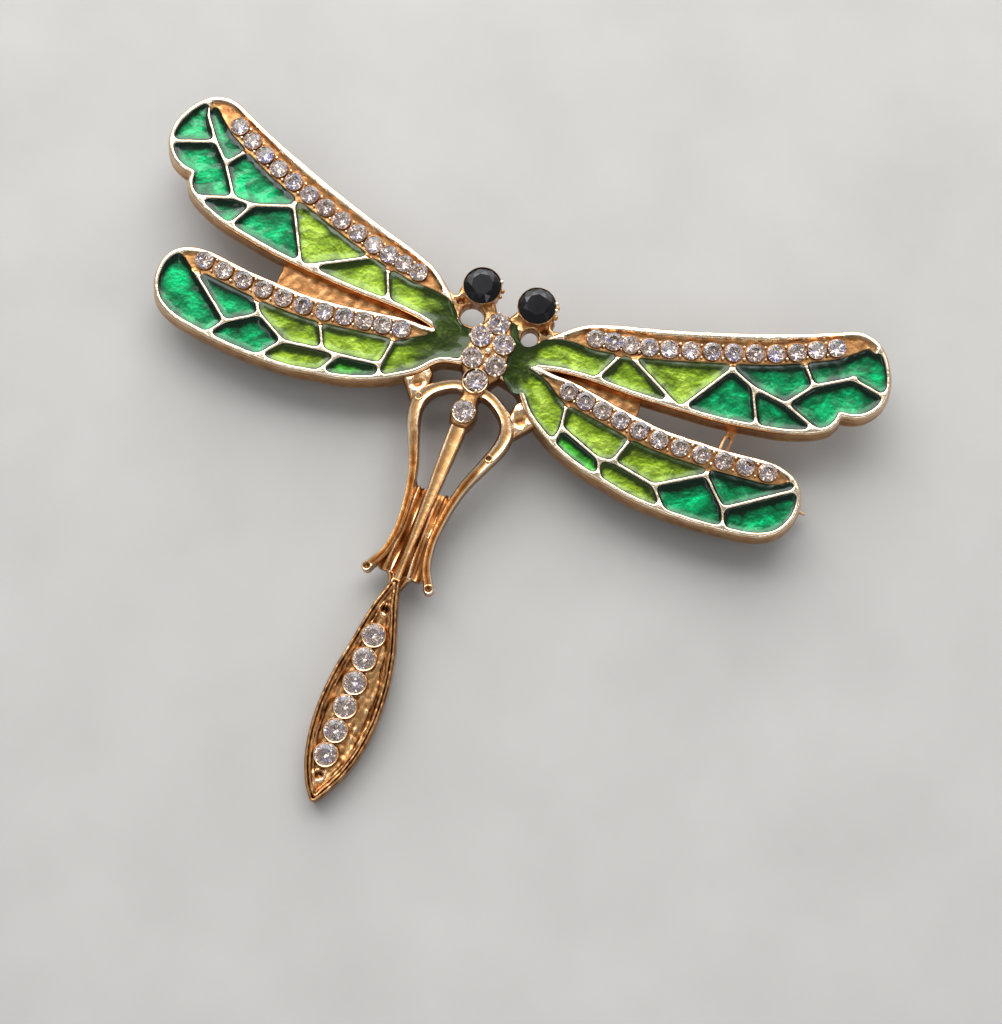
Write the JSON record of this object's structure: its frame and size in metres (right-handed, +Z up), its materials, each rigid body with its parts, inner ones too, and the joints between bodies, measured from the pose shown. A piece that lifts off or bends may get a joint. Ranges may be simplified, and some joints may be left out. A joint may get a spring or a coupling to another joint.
{
  "type": "insect brooch",
  "caption": "Dragonfly-shaped brooch: cast wings with enamel cells and rows of set stones, a pierced body, a stone-set tail, and a hinged pin with a hook catch behind the wings.",
  "frame": {"origin": "on the surface the brooch lies on, at the middle of its box", "axes": "+X to the viewer's right wing, +Y to the head, +Z up out of the decorated front"},
  "size_m": [0.0894, 0.072, 0.0084],
  "materials": {
    "cast_gold": "gold-plated casting, polished rims, darker side walls",
    "pin_wire": "plated wire, polished",
    "emerald_enamel": "clear enamel over foil, glossy",
    "lime_enamel": "clear enamel over foil, glossy",
    "grass_enamel": "clear enamel over foil, glossy",
    "rhinestone": "foil-backed cut glass",
    "black_glass": "cut black glass, polished"
  },
  "bodies": {
    "brooch": {"casting": "cast_gold", "hinge_rivet": "pin_wire", "neck_stone": "rhinestone", "eye_left": "black_glass", "eye_right": "black_glass", "thorax_stone_1": "rhinestone", "thorax_stone_2": "rhinestone", "thorax_stone_3": "rhinestone", "thorax_stone_4": "rhinestone", "thorax_stone_5": "rhinestone", "thorax_stone_6": "rhinestone", "tail_stone_1": "rhinestone", "tail_stone_2": "rhinestone", "tail_stone_3": "rhinestone", "tail_stone_4": "rhinestone", "tail_stone_5": "rhinestone", "tail_stone_6": "rhinestone", "stones_left_fore": "rhinestone", "stones_left_hind": "rhinestone", "stones_right_fore": "rhinestone", "stones_right_hind": "rhinestone", "enamel_left_fore_1": "emerald_enamel", "enamel_left_fore_2": "emerald_enamel", "enamel_left_fore_3": "emerald_enamel", "enamel_left_fore_4": "emerald_enamel", "enamel_left_fore_5": "emerald_enamel", "enamel_left_fore_6": "emerald_enamel", "enamel_left_fore_7": "lime_enamel", "enamel_left_fore_8": "lime_enamel", "enamel_left_fore_9": "lime_enamel", "enamel_left_hind_1": "emerald_enamel", "enamel_left_hind_2": "emerald_enamel", "enamel_left_hind_3": "emerald_enamel", "enamel_left_hind_4": "lime_enamel", "enamel_left_hind_5": "lime_enamel", "enamel_left_hind_6": "lime_enamel", "enamel_left_hind_7": "grass_enamel", "enamel_left_hind_8": "lime_enamel", "enamel_right_fore_1": "emerald_enamel", "enamel_right_fore_2": "emerald_enamel", "enamel_right_fore_3": "emerald_enamel", "enamel_right_fore_4": "emerald_enamel", "enamel_right_fore_5": "emerald_enamel", "enamel_right_fore_6": "emerald_enamel", "enamel_right_fore_7": "lime_enamel", "enamel_right_fore_8": "lime_enamel", "enamel_right_fore_9": "lime_enamel", "enamel_right_hind_1": "emerald_enamel", "enamel_right_hind_2": "emerald_enamel", "enamel_right_hind_3": "emerald_enamel", "enamel_right_hind_4": "lime_enamel", "enamel_right_hind_5": "lime_enamel", "enamel_right_hind_6": "lime_enamel", "enamel_right_hind_7": "grass_enamel", "enamel_right_hind_8": "lime_enamel"},
    "pin": {"pin_stem": "pin_wire"}
  },
  "joints": [
    {"name": "pin_hinge", "type": "hinge", "parent": "brooch", "child": "pin", "pos_m": [-0.0243, 0.02039, 0.00199], "axis": [0.0796, 0.8248, 0.5599], "range_deg": [0, 75]}
  ]
}
